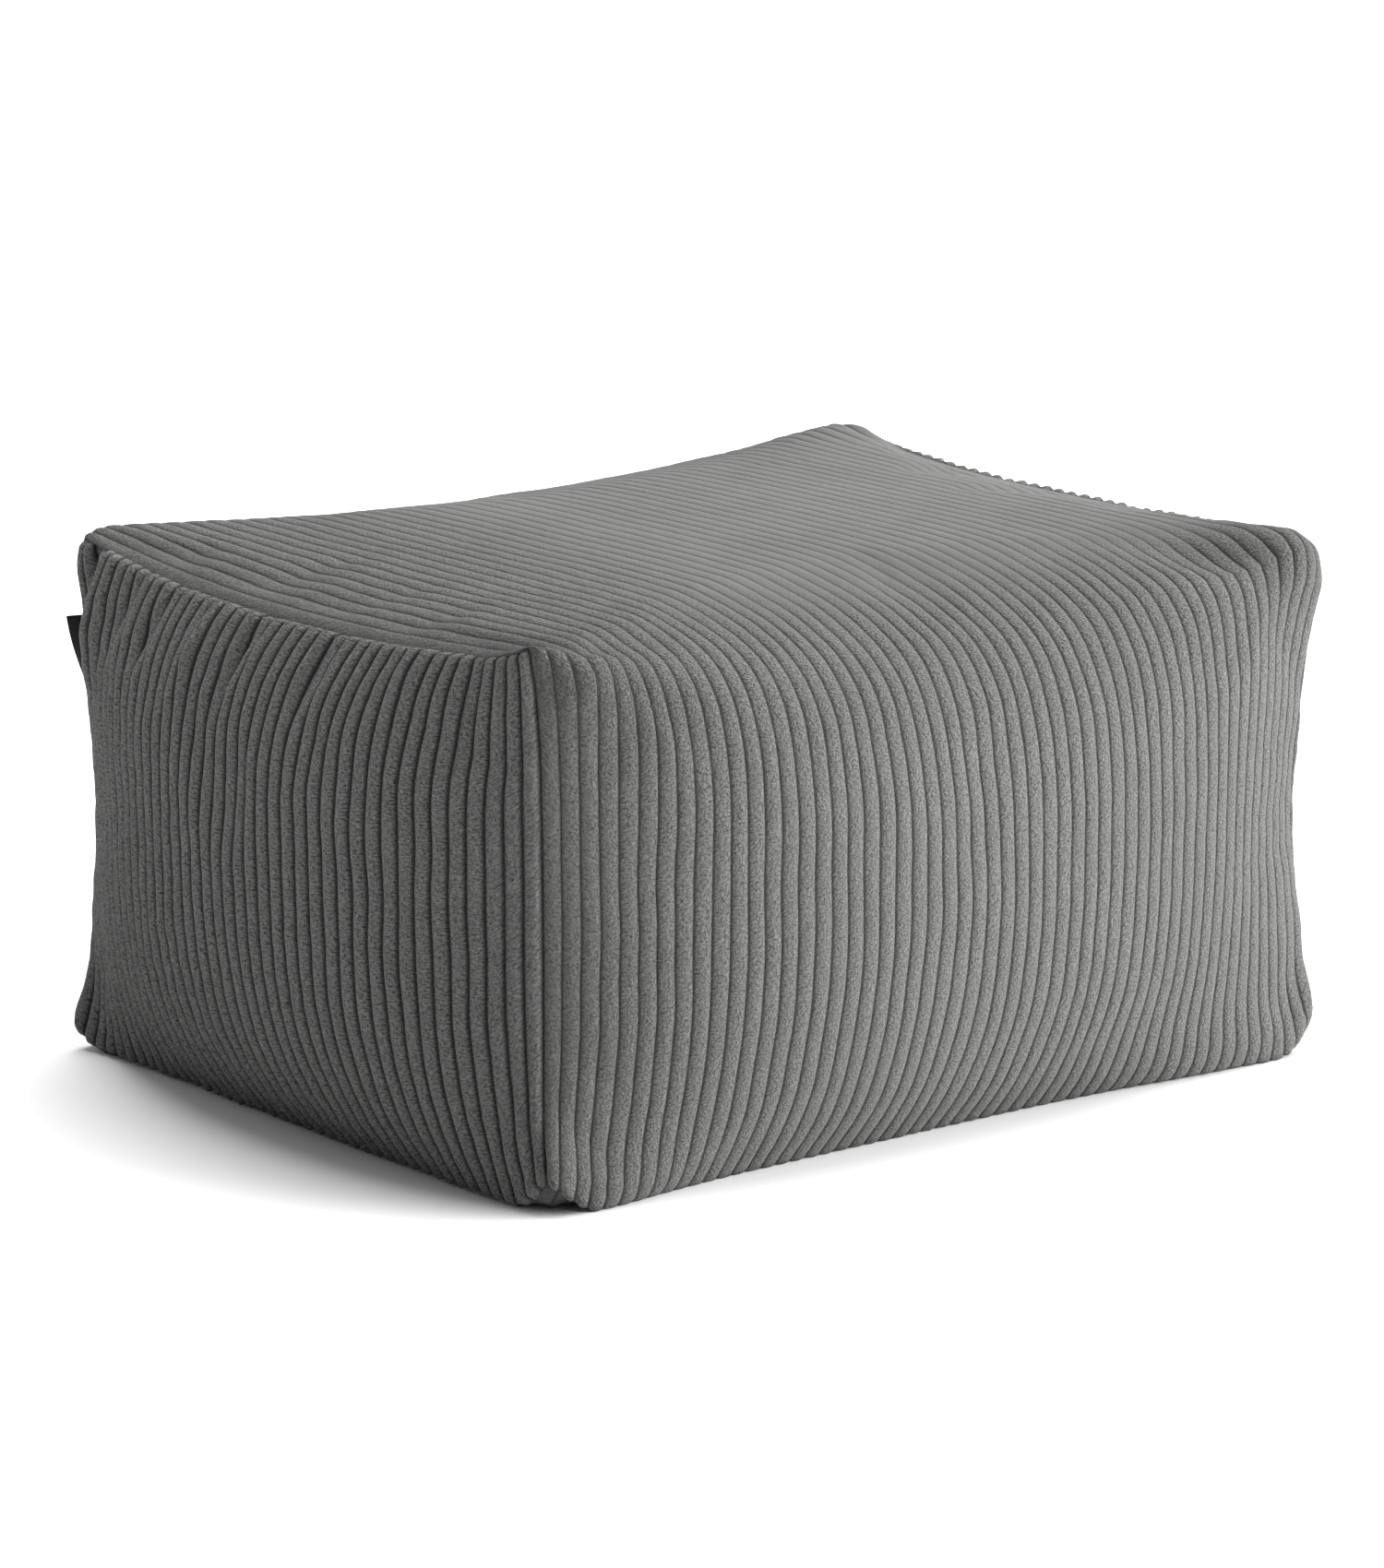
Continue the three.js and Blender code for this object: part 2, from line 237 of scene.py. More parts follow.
# Creases and hollows, listed one by one. Places are millimetres on the flat cloth: across from the middle
# of the panel, and up from its lowest edge (on the main band, up the front, over the top, down the back).
creases = {
    "mainBand": [
        {"across": 238, "up": 386, "turn": -35, "length": 58, "width": 28, "depth": -7.5},
        {"across": 288, "up": 372, "turn": -30, "length": 40, "width": 16, "depth": 4},
        {"across": -284, "up": 338, "turn": 52, "length": 34, "width": 11, "depth": 4},
        {"across": -262, "up": 372, "turn": 40, "length": 40, "width": 16, "depth": -3},
        {"across": 306, "up": 92, "turn": 0, "length": 40, "width": 30, "depth": 4},
        {"across": 232, "up": 14, "turn": 90, "length": 90, "width": 22, "depth": 8},
        {"across": -262, "up": 14, "turn": 90, "length": 60, "width": 22, "depth": 9},
    ],
    "leftEndPanel": [
        {"across": 230, "up": 318, "turn": -10, "length": 40, "width": 8, "depth": -16},
        {"across": 205, "up": 298, "turn": -8, "length": 44, "width": 13, "depth": 9},
        {"across": 164, "up": 316, "turn": -18, "length": 30, "width": 8, "depth": -4},
        {"across": 120, "up": 318, "turn": -18, "length": 30, "width": 9, "depth": -5.5},
        {"across": 60, "up": 316, "turn": -14, "length": 28, "width": 9, "depth": 5},
        {"across": 12, "up": 320, "turn": -12, "length": 30, "width": 8, "depth": -6},
        {"across": -70, "up": 324, "turn": -4, "length": 28, "width": 8, "depth": -5},
        {"across": -150, "up": 328, "turn": 0, "length": 26, "width": 8, "depth": 3},
        {"across": -206, "up": 318, "turn": 4, "length": 30, "width": 9, "depth": -4},
        {"across": 218, "up": 60, "turn": -14, "length": 40, "width": 14, "depth": -3},
    ],
    "rightEndPanel": [
        {"across": -208, "up": 300, "turn": -8, "length": 34, "width": 9, "depth": -6},
        {"across": 212, "up": 296, "turn": 8, "length": 34, "width": 9, "depth": -6},
        {"across": 70, "up": 322, "turn": 10, "length": 24, "width": 9, "depth": -3},
        {"across": -60, "up": 324, "turn": -6, "length": 24, "width": 8, "depth": -2.5},
    ],
}


def creaseDepth(panel, across, up):
    depth = np.zeros(np.broadcast(across, up).shape)
    for crease in creases[panel]:
        turn = math.radians(crease["turn"])
        side, rise = across - crease["across"], up - crease["up"]
        alongIt = (rise * math.cos(turn) + side * math.sin(turn)) / crease["length"]
        acrossIt = (side * math.cos(turn) - rise * math.sin(turn)) / crease["width"]
        depth += crease["depth"] * np.exp(-(alongIt**2) - acrossIt**2)
    return depth


def ripple(across, up, shortest, longest, seed, count=14):
    # soft unevenness between about -1 and 1: a few waves of different length and direction
    dice = np.random.default_rng(seed)
    total = np.zeros(np.broadcast(across, up).shape)
    for _ in range(count):
        length = math.exp(dice.uniform(math.log(shortest), math.log(longest)))
        heading, phase = dice.uniform(0, math.pi), dice.uniform(0, 2 * math.pi)
        run = across * math.cos(heading) + up * math.sin(heading)
        total += np.sin(2 * math.pi * run / length + phase)
    return total / math.sqrt(count)


# The cover as cloth: a coarse closed copy is blown up a little while its seams draw in, and the
# creases that this leaves are carried over to the ribbed panels.
cover = {
    "stepsAcross": 76,
    "stepsUp": 42,
    "stepsDeep": 60,
    "pressure": 4.0,
    "frames": 20,
    "seamShrink": 0.06,
    "seamBand": 14 * mm,
    "cap": 9 * mm,
    "keptSwell": 0.15,
    "smoothing": 90,
    "strength": 0.38,
    "weld": 0.4 * mm,
    "leastGrip": 0.55,
    "heldBelow": 3.6 * mm,
    "heldFromSeam": 4 * mm,
    "quality": 6,
    "mass": 0.3,
    "stretchStiffness": 20,
    "shearStiffness": 6,
    "bendingStiffness": 0.4,
}


def bandStops():
    up = np.arange(cover["stepsUp"]) / cover["stepsUp"]
    deep = np.arange(cover["stepsDeep"]) / cover["stepsDeep"]
    return np.concatenate([up, 1 + deep, 2 + up, [3.0]])


def bandPlace(v):
    # where a stop of the band lies among the coarse stops
    up, deep = cover["stepsUp"], cover["stepsDeep"]
    return np.where(v <= 1, v * up, np.where(v <= 2, up + (v - 1) * deep, up + deep + (v - 2) * up))


def coarsePanels():
    across = np.linspace(-1, 1, cover["stepsAcross"] + 1)
    deep = np.linspace(-1, 1, cover["stepsDeep"] + 1)
    up = np.linspace(-1, 1, cover["stepsUp"] + 1)
    return {
        "mainBand": bandForm(across[None, :], bandStops()[:, None]) * mm,
        "leftEndPanel": endForm(-1, deep[None, :], up[:, None]) * mm,
        "rightEndPanel": endForm(1, deep[None, :], up[:, None]) * mm,
        "basePanel": baseForm(across[None, :], deep[:, None]) * mm,
    }


def fillGrid(shape, points):
    # a bmesh grid moved onto the points: rows by columns
    rows, columns = points.shape[:2]
    made = bmesh.ops.create_grid(shape, x_segments=columns - 1, y_segments=rows - 1, size=1)["verts"]
    slots = {}
    for vertex in made:
        i = round((vertex.co.y + 1) / 2 * (rows - 1))
        j = round((vertex.co.x + 1) / 2 * (columns - 1))
        slots[vertex] = (i, j)
    for vertex, (i, j) in slots.items():
        vertex.co = points[i, j]
    return slots


def seamDistance(points):
    # how far each point of the welded cover is from the nearest seam line
    panels = coarsePanels()
    lines = [panels["mainBand"][:, 0], panels["mainBand"][:, -1]]
    lines += [panels["basePanel"][0], panels["basePanel"][-1]]
    for side in ("leftEndPanel", "rightEndPanel"):
        lines += [panels[side][0], panels[side][-1]]
    seam = np.concatenate(lines)
    tree = KDTree(len(seam))
    for index, place in enumerate(seam):
        tree.insert(place, index)
    tree.balance()
    return np.array([tree.find(point)[2] for point in points])


def evenOut(shifts, edges, rounds):
    # average over neighbours, again and again
    first, second = edges[:, 0], edges[:, 1]
    size = len(shifts)
    neighbours = np.bincount(first, minlength=size) + np.bincount(second, minlength=size) + 1.0
    for _ in range(rounds):
        total = shifts.copy()
        for axis in range(3):
            total[:, axis] += np.bincount(first, shifts[second, axis], size)
            total[:, axis] += np.bincount(second, shifts[first, axis], size)
        shifts = total / neighbours[:, None]
    return shifts


def settleCover():
    panels = coarsePanels()
    shape = bmesh.new()
    for points in panels.values():
        fillGrid(shape, points)
    bmesh.ops.remove_doubles(shape, verts=shape.verts, dist=cover["weld"])
    bmesh.ops.recalc_face_normals(shape, faces=shape.faces)
    mesh = bpy.data.meshes.new("coverCloth")
    shape.to_mesh(mesh)
    shape.free()
    cloth = bpy.data.objects.new("coverCloth", mesh)
    bpy.context.scene.collection.objects.link(cloth)
    start = np.array([vertex.co for vertex in mesh.vertices])
    edges = np.array([edge.vertices for edge in mesh.edges])

    seams = cloth.vertex_groups.new(name="seams")
    fromSeam = seamDistance(start)
    dice = np.random.default_rng(11)
    grip = np.clip(1 - fromSeam / cover["seamBand"], 0, 1)
    grip = grip * dice.uniform(cover["leastGrip"], 1, len(start))
    held = cloth.vertex_groups.new(name="onFloor")
    for index, share in enumerate(grip):
        if share > 0:
            seams.add([index], float(share), "REPLACE")
        if start[index, 2] < cover["heldBelow"] and fromSeam[index] > cover["heldFromSeam"]:
            held.add([index], 1.0, "REPLACE")

    modifier = cloth.modifiers.new("cloth", "CLOTH")
    settings = modifier.settings
    settings.quality = cover["quality"]
    settings.mass = cover["mass"]
    settings.tension_stiffness = cover["stretchStiffness"]
    settings.compression_stiffness = cover["stretchStiffness"]
    settings.shear_stiffness = cover["shearStiffness"]
    settings.bending_stiffness = cover["bendingStiffness"]
    settings.use_pressure = True
    settings.uniform_pressure_force = cover["pressure"]
    settings.vertex_group_shrink = "seams"
    settings.shrink_min = 0.0
    settings.shrink_max = cover["seamShrink"]
    settings.vertex_group_mass = "onFloor"
    settings.effector_weights.gravity = 0
    modifier.collision_settings.use_collision = False
    scene = bpy.context.scene
    for number in range(1, cover["frames"] + 1):
        scene.frame_set(number)
    settled = cloth.evaluated_get(bpy.context.evaluated_depsgraph_get())
    ended = np.array([vertex.co for vertex in settled.data.vertices])
    shifts = ended - start
    scene.frame_set(1)

    broad = evenOut(shifts, edges, cover["smoothing"])
    relief = evenOut(shifts, edges, 1) - broad * (1 - cover["keptSwell"])
    reach = np.linalg.norm(relief, axis=1)
    relief *= (cover["strength"] / np.maximum(1, reach / cover["cap"]))[:, None]
    most, mean = float(reach.max()) * 1000, float(reach.mean()) * 1000
    print("cloth settled, moved by up to", round(most, 1), "mm, mean", round(mean, 2))

    tree = KDTree(len(start))
    for index, place in enumerate(start):
        tree.insert(place, index)
    tree.balance()
    found = {}
    for name, points in panels.items():
        rows = [[relief[tree.find(point)[1]] for point in row] for row in points]
        found[name] = np.array(rows)
    bpy.data.objects.remove(cloth)
    bpy.data.meshes.remove(mesh)
    return found


def cubicWeights(places, count):
    # smooth blending of evenly spaced stations at the places asked for
    whole = np.clip(np.floor(places).astype(int), 0, count - 2)
    part = places - whole
    weights = np.zeros((len(places), count))
    shares = {
        -1: -0.5 * part + part**2 - 0.5 * part**3,
        0: 1 - 2.5 * part**2 + 1.5 * part**3,
        1: 0.5 * part + 2 * part**2 - 1.5 * part**3,
        2: -0.5 * part**2 + 0.5 * part**3,
    }
    for step, share in shares.items():
        np.add.at(weights, (np.arange(len(places)), np.clip(whole + step, 0, count - 1)), share)
    return weights


def carryOver(coarse, rowPlaces, columnPlaces):
    down = cubicWeights(rowPlaces, coarse.shape[0])
    over = cubicWeights(columnPlaces, coarse.shape[1])
    return np.einsum("ri,ijk,cj->rck", down, coarse, over)


relief = settleCover()

# Corduroy: how the ribs stand on the cloth. Spots are shares of one rib, closer at the grooves.
wale = {
    "bandCount": 54,
    "endCount": 42,
    "bandHeight": 2.1 * mm,
    "endHeight": 3.9 * mm,
    "bandRoundness": 0.44,
    "endRoundness": 0.62,
    "calmTop": 0.58,
    "spots": (0.0, 0.06, 0.17, 0.33, 0.5, 0.67, 0.83, 0.94),
    "endCrowding": 0.06,
    "bandCrowding": 0.01,
    "seamDip": 3.0 * mm,
    "seamReach": 5.0 * mm,
    "sideDip": 1.2 * mm,
    "sideReach": 3.0 * mm,
    "topTurn": 5.0 * mm,
    "topTurnReach": 13.0 * mm,
    "hang": 3.0 * mm,
    "hangReach": 16.0 * mm,
    "hangRoundness": 0.7,
    "liftedFully": 9 * mm,
    "aboveFloor": 0.2 * mm,
    "pitch": 12,
    "wander": 0.6,
    "wanderLengths": (45, 160),
    "wanderNearSeam": 0.25,
    "nearSeamLengths": (40, 90),
    "nearSeamPlace": 26,
    "nearSeamWidth": 24,
    "heightChange": 0.1,
    "heightLengths": (20, 90),
}


def waleLines(count, crowding):
    # one entry for each line along the ribs: where it lies from -1 to 1, and its place in rib widths
    spots = np.array(wale["spots"])
    places = np.append((np.arange(count)[:, None] + spots[None, :]).ravel(), count)
    even = 2 * places / count - 1
    return even * (1 + crowding * (1 - even * even)), places


def wander(lines, up, halfWidth, seed):
    # ribs stray sideways a little, more beside an upright seam, and not at the seam itself
    across = lines * halfWidth
    stray = ripple(across, up, *wale["wanderLengths"], seed) * wale["wander"]
    fromPlace = (np.abs(across) - halfWidth + wale["nearSeamPlace"]) / wale["nearSeamWidth"]
    near = np.exp(-(fromPlace**2)) * wale["wanderNearSeam"]
    stray = stray + near * ripple(across, up, *wale["nearSeamLengths"], seed + 1)
    return lines + stray * (1 - np.abs(lines) ** 12) / halfWidth


def crest(places, roundness):
    share = places - np.floor(places)
    return np.sin(np.pi * share) ** roundness


def clothNormals(points):
    # outward for a sheet whose rows run across the ribs and whose columns run along them
    alongRows = np.gradient(points, axis=1)
    alongColumns = np.gradient(points, axis=0)
    out = np.cross(alongRows, alongColumns)
    return out / np.maximum(np.linalg.norm(out, axis=-1, keepdims=True), 1e-12)


def edgeLengths(points, axis):
    # distance run along one direction of the sheet, from its first edge
    step = np.linalg.norm(np.diff(points, axis=axis), axis=-1)
    run = np.cumsum(step, axis=axis)
    pad = [(0, 0), (0, 0)]
    pad[axis] = (1, 0)
    return np.pad(run, pad)


def raiseWales(points, places, height, roundness, dipEnds, seed, onTop=0.0):
    # points: rows along the ribs by columns across them, in metres
    out = clothNormals(points)
    along = edgeLengths(points, 0)
    fromEnd = np.minimum(along, along[-1:] - along)
    endFade = np.clip(fromEnd / wale["seamReach"], 0, 1)
    endFade = endFade * (2 - endFade)
    across = edgeLengths(points, 1)
    fromSide = np.minimum(across, across[:, -1:] - across)
    sideFade = np.clip(fromSide / wale["sideReach"], 0, 1)
    unevenness = ripple(places[None, :] * wale["pitch"], along / mm, *wale["heightLengths"], seed)
    fullness = 1 + wale["heightChange"] * unevenness
    raised = height * crest(places, roundness)[None, :] * fullness
    if dipEnds:
        raised = raised * endFade - wale["seamDip"] * (1 - endFade)
    raised = raised - wale["sideDip"] * (1 - sideFade) ** 2
    # over the end panels the first rib turns down to the seam
    turning = np.clip(1 - fromSide / wale["topTurnReach"], 0, 1) ** 1.5
    raised = raised - wale["topTurn"] * turning * onTop
    points = points + out * raised[..., None]
    # where the low seam is lifted, each rib hangs over it
    lifted = np.clip(points[:1, :, 2] / wale["liftedFully"], 0, 1)
    lowness = np.clip(1 - along / wale["hangReach"], 0, 1)
    points[..., 2] -= wale["hang"] * crest(places, wale["hangRoundness"]) * lifted * lowness
    points[..., 2] = np.maximum(points[..., 2], wale["aboveFloor"])  # the floor flattens the lowest ribs
    return points, along


def layGrid(points, places, along, turned=False):
    # the panel as a bmesh; its UV counts ribs across and along
    shape = bmesh.new()
    uvLayer = shape.loops.layers.uv.new("wales")
    slots = fillGrid(shape, points)
    pitch = wale["pitch"] * mm
    for face in shape.faces:
        for loop in face.loops:
            i, j = slots[loop.vert]
            loop[uvLayer].uv = (places[j], along[i, j] / pitch)
    if turned:
        bmesh.ops.reverse_faces(shape, faces=shape.faces)
    return shape


def finishPiece(name, shape, material):
    mesh = bpy.data.meshes.new(name)
    shape.to_mesh(mesh)
    shape.free()
    for polygon in mesh.polygons:
        polygon.use_smooth = True
    mesh.materials.append(material)
    piece = bpy.data.objects.new(name, mesh)
    bpy.context.scene.collection.objects.link(piece)
    return piece


# Materials
def newMaterial(name):
    material = bpy.data.materials.new(name)
    material.use_nodes = True
    nodes = material.node_tree.nodes
    return material, nodes, material.node_tree.links, nodes["Principled BSDF"]


corduroyLook = {
    "worn": (0.188, 0.188, 0.182),
    "shadowed": (0.045, 0.045, 0.044),
    # the groove colour: bare ground cloth darkened with painted shade for the depth of the groove
    "groove": (0.06, 0.06, 0.058),
    "grooveWidth": 0.12,  # share of a rib, from the bottom of the groove to the full pile
    "raggedScale": 2.5,
    "raggedStretch": (1, 2.6, 1),
    "ragged": 0.08,
    "patches": 7,
    "patchShare": 0.4,
    "dashes": 0.35,
    "dashScale": 6,
    "dashStretch": (0.7, 1.8, 1),
    "grain": 0.35,
    "grainScale": 600,
    "pits": 0.3,
    "pitScale": 3.4,
    "pitStretch": (1.1, 1.7, 1),
    "middleLevel": 0.42,
    # painted shade: the tone is taken down towards the left end and along the fold over the top front
    # edge
    "leftShade": 0.22,
    "leftReach": (-0.36, -0.04),  # metres along the pouf
    "foldPlace": 29.5,  # rib widths up the front to where the cloth turns over the top
    "foldReach": 9,
    "foldShade": 0.2,
    "topMiddle": 52,  # on the top the pile marks and the groove colour are toned down, and painted shade darkens the tone: its middle and half width, in rib widths
    "topHalf": 20,
    "topCalm": 0.85,
    # painted shade: how much the top's middle is darkened
    "paintedTopShade": 0.46,
    "calmStart": (-0.28, -0.06),
    "roughness": 0.92,
    "sheen": 0.12,
    "sheenRoughness": 0.45,
    "bump": 1.0,
    "bumpDepth": 0.8 * mm,
}


def mathNode(nodes, links, operation, first, second=None, third=None, clamp=False):
    node = nodes.new("ShaderNodeMath")
    node.operation = operation
    node.use_clamp = clamp
    for slot, value in enumerate((first, second, third)):
        if value is None:
            continue
        if isinstance(value, (int, float)):
            node.inputs[slot].default_value = value
        else:
            links.new(value, node.inputs[slot])
    return node.outputs[0]


def rangeNode(nodes, links, value, low, high, toLow=0.0, toHigh=1.0):
    node = nodes.new("ShaderNodeMapRange")
    node.interpolation_type = "SMOOTHSTEP"
    links.new(value, node.inputs["Value"])
    node.inputs["From Min"].default_value = low
    node.inputs["From Max"].default_value = high
    node.inputs["To Min"].default_value = toLow
    node.inputs["To Max"].default_value = toHigh
    return node.outputs["Result"]


def noiseNode(nodes, links, vector, scale, detail, roughness=0.5, stretch=None):
    if stretch:
        mapping = nodes.new("ShaderNodeMapping")
        mapping.inputs["Scale"].default_value = stretch
        links.new(vector, mapping.inputs["Vector"])
        vector = mapping.outputs[0]
    node = nodes.new("ShaderNodeTexNoise")
    links.new(vector, node.inputs["Vector"])
    node.inputs["Scale"].default_value = scale
    node.inputs["Detail"].default_value = detail
    node.inputs["Roughness"].default_value = roughness
    return node.outputs["Fac"]


def addBump(nodes, links, shader, height, look):
    bump = nodes.new("ShaderNodeBump")
    bump.inputs["Strength"].default_value = look["bump"]
    bump.inputs["Distance"].default_value = look["bumpDepth"]
    links.new(height, bump.inputs["Height"])
    links.new(bump.outputs["Normal"], shader.inputs["Normal"])


def makeCorduroy(name, look):
    material, nodes, links, shader = newMaterial(name)
    shader.inputs["Roughness"].default_value = look["roughness"]
    shader.inputs["Specular IOR Level"].default_value = 0.15
    shader.inputs["Sheen Weight"].default_value = look["sheen"]
    shader.inputs["Sheen Roughness"].default_value = look["sheenRoughness"]
    uv = nodes.new("ShaderNodeUVMap")
    uv.uv_map = "wales"
    parts = nodes.new("ShaderNodeSeparateXYZ")
    links.new(uv.outputs["UV"], parts.inputs[0])
    place = nodes.new("ShaderNodeTexCoord").outputs["Object"]

    # full pile on the rib; in the groove a dark colour, bare ground cloth with painted shade for the
    # depth of the groove; its edge a little ragged
    flat = uv.outputs["UV"]
    ragged = noiseNode(nodes, links, flat, look["raggedScale"], 3, 0.6, look["raggedStretch"])
    share = mathNode(nodes, links, "PINGPONG", parts.outputs["X"], 0.5)
    edge = mathNode(nodes, links, "MULTIPLY_ADD", ragged, -look["ragged"], share)
    pile = rangeNode(nodes, links, edge, -0.03, look["grooveWidth"] - 0.03)

    # short rows of tufts across the rib, single tufts, crushed pits and broad patches
    dashes = noiseNode(nodes, links, flat, look["dashScale"], 2, 0.6, look["dashStretch"])
    rows = rangeNode(nodes, links, dashes, 0.32, 0.68)
    grain = noiseNode(nodes, links, place, look["grainScale"], 2, 0.6)
    tuft = rangeNode(nodes, links, grain, 0.3, 0.7)
    spots = noiseNode(nodes, links, flat, look["pitScale"], 3, 0.6, look["pitStretch"])
    broad = noiseNode(nodes, links, place, look["patches"], 3)
    pitted = rangeNode(nodes, links, broad, 0.4, 0.6, 0.15, 1)
    pit = mathNode(nodes, links, "MULTIPLY", rangeNode(nodes, links, spots, 0.53, 0.66), pitted)
    # the top's middle, away from its left side: pile marks and groove colour toned down, and painted
    # shade on its tone
    offTop = mathNode(nodes, links, "SUBTRACT", parts.outputs["Y"], look["topMiddle"])
    offTop = mathNode(nodes, links, "ABSOLUTE", offTop)
    spread = nodes.new("ShaderNodeSeparateXYZ")
    links.new(place, spread.inputs[0])
    topEdge = look["topHalf"]
    calmAndShade = rangeNode(nodes, links, offTop, topEdge - 5, topEdge + 3, look["topCalm"], 0)
    offLeft = rangeNode(nodes, links, spread.outputs["X"], *look["calmStart"])
    calmAndShade = mathNode(nodes, links, "MULTIPLY", calmAndShade, offLeft)
    lively = mathNode(nodes, links, "SUBTRACT", 1, calmAndShade)
    pit = mathNode(nodes, links, "MULTIPLY", pit, lively)
    tuft = mathNode(nodes, links, "SUBTRACT", tuft, 0.5)
    tuft = mathNode(nodes, links, "MULTIPLY", tuft, lively)
    rows = mathNode(nodes, links, "SUBTRACT", rows, 0.5)
    rows = mathNode(nodes, links, "MULTIPLY", rows, lively)
    level = mathNode(nodes, links, "MULTIPLY_ADD", rows, look["dashes"], look["middleLevel"])
    level = mathNode(nodes, links, "MULTIPLY_ADD", tuft, look["grain"], level)
    level = mathNode(nodes, links, "MULTIPLY_ADD", broad, look["patchShare"], level)
    level = mathNode(nodes, links, "MULTIPLY_ADD", pit, -look["pits"], level)
    # painted shade over the top's middle
    level = mathNode(nodes, links, "MULTIPLY_ADD", calmAndShade, -look["paintedTopShade"], level)

    # painted shade: the tone is darker where the cloth turns over the top edge, and towards the left
    offFold = mathNode(nodes, links, "SUBTRACT", parts.outputs["Y"], look["foldPlace"])
    offFold = mathNode(nodes, links, "ABSOLUTE", offFold)
    shade = rangeNode(nodes, links, offFold, 0, look["foldReach"], look["foldShade"], 0)
    level = mathNode(nodes, links, "SUBTRACT", level, shade)
    # painted shade towards the left end of the pouf
    shade = rangeNode(nodes, links, spread.outputs["X"], *look["leftReach"], look["leftShade"], 0)
    level = mathNode(nodes, links, "SUBTRACT", level, shade, clamp=True)

    tone = nodes.new("ShaderNodeMix")
    tone.data_type = "RGBA"
    tone.inputs["A"].default_value = (*look["shadowed"], 1)
    tone.inputs["B"].default_value = (*look["worn"], 1)
    links.new(level, tone.inputs["Factor"])
    # the groove colour, partly painted shade, is left off over the top's middle
    mixed = nodes.new("ShaderNodeMix")
    mixed.data_type = "RGBA"
    mixed.inputs["A"].default_value = (*look["groove"], 1)
    links.new(mathNode(nodes, links, "MAXIMUM", pile, calmAndShade), mixed.inputs["Factor"])
    links.new(tone.outputs["Result"], mixed.inputs["B"])
    links.new(mixed.outputs["Result"], shader.inputs["Base Color"])

    height = mathNode(nodes, links, "MULTIPLY_ADD", rows, 0.9, tuft)
    height = mathNode(nodes, links, "MULTIPLY_ADD", pit, -0.8, height)
    addBump(nodes, links, shader, height, look)
    return material


corduroy = makeCorduroy("corduroy", corduroyLook)
# End panels: a darker copy of the cloth with a darker, wider groove, painted shade for the dim left end
# (both ends use it), and coarser pile marks; the painted fold, top and left shade is off
endLook = dict(corduroyLook, worn=(0.178, 0.178, 0.172), shadowed=(0.028, 0.028, 0.028))
endLook.update(groove=(0.02, 0.02, 0.02), grooveWidth=0.2, bumpDepth=0.9 * mm)
endLook.update(foldShade=0.0, topCalm=0.0, leftShade=0.0, dashes=0.55, grain=0.5, pits=0.5)
endCorduroy = makeCorduroy("endCorduroy", endLook)
# Base: a much darker copy of the end cloth, painted shade for where it lies under the pouf
baseLook = dict(endLook, worn=(0.1, 0.1, 0.098), shadowed=(0.045, 0.045, 0.044))
baseCloth = makeCorduroy("baseCloth", baseLook)


tapeLook = {
    "colour": (0.007, 0.007, 0.008),
    "roughness": 0.75,
    "gloss": 0.15,
    "weaveScale": 420,
    "weaveWaver": 1.5,
    "bump": 0.4,
    "bumpDepth": 0.3 * mm,
}


def makeTape():
    material, nodes, links, shader = newMaterial("wovenTape")
    shader.inputs["Base Color"].default_value = (*tapeLook["colour"], 1)
    shader.inputs["Roughness"].default_value = tapeLook["roughness"]
    shader.inputs["Specular IOR Level"].default_value = tapeLook["gloss"]
    place = nodes.new("ShaderNodeTexCoord")
    weave = nodes.new("ShaderNodeTexWave")
    weave.bands_direction = "Z"
    weave.inputs["Scale"].default_value = tapeLook["weaveScale"]
    weave.inputs["Distortion"].default_value = tapeLook["weaveWaver"]
    links.new(place.outputs["Object"], weave.inputs["Vector"])
    addBump(nodes, links, shader, weave.outputs["Fac"], tapeLook)
    return material


tape = makeTape()
print("materials made")

# Main band: front, top and back in one length of cloth
band = {
    "name": "mainBand",
    "rowsFront": 66,
    "rowsTop": 84,
    "rowsBack": 52,
    "topFrom": 1.05,  # places round the band, as in aroundBand
    "topTo": 1.95,
    "topBlend": 0.12,
    "calmFrom": -0.85,
    "calmBlend": 0.6,
    "insideCentre": (0, 0, 0.12),
    "insideShares": (0.05, 0.5, 0.6),
}


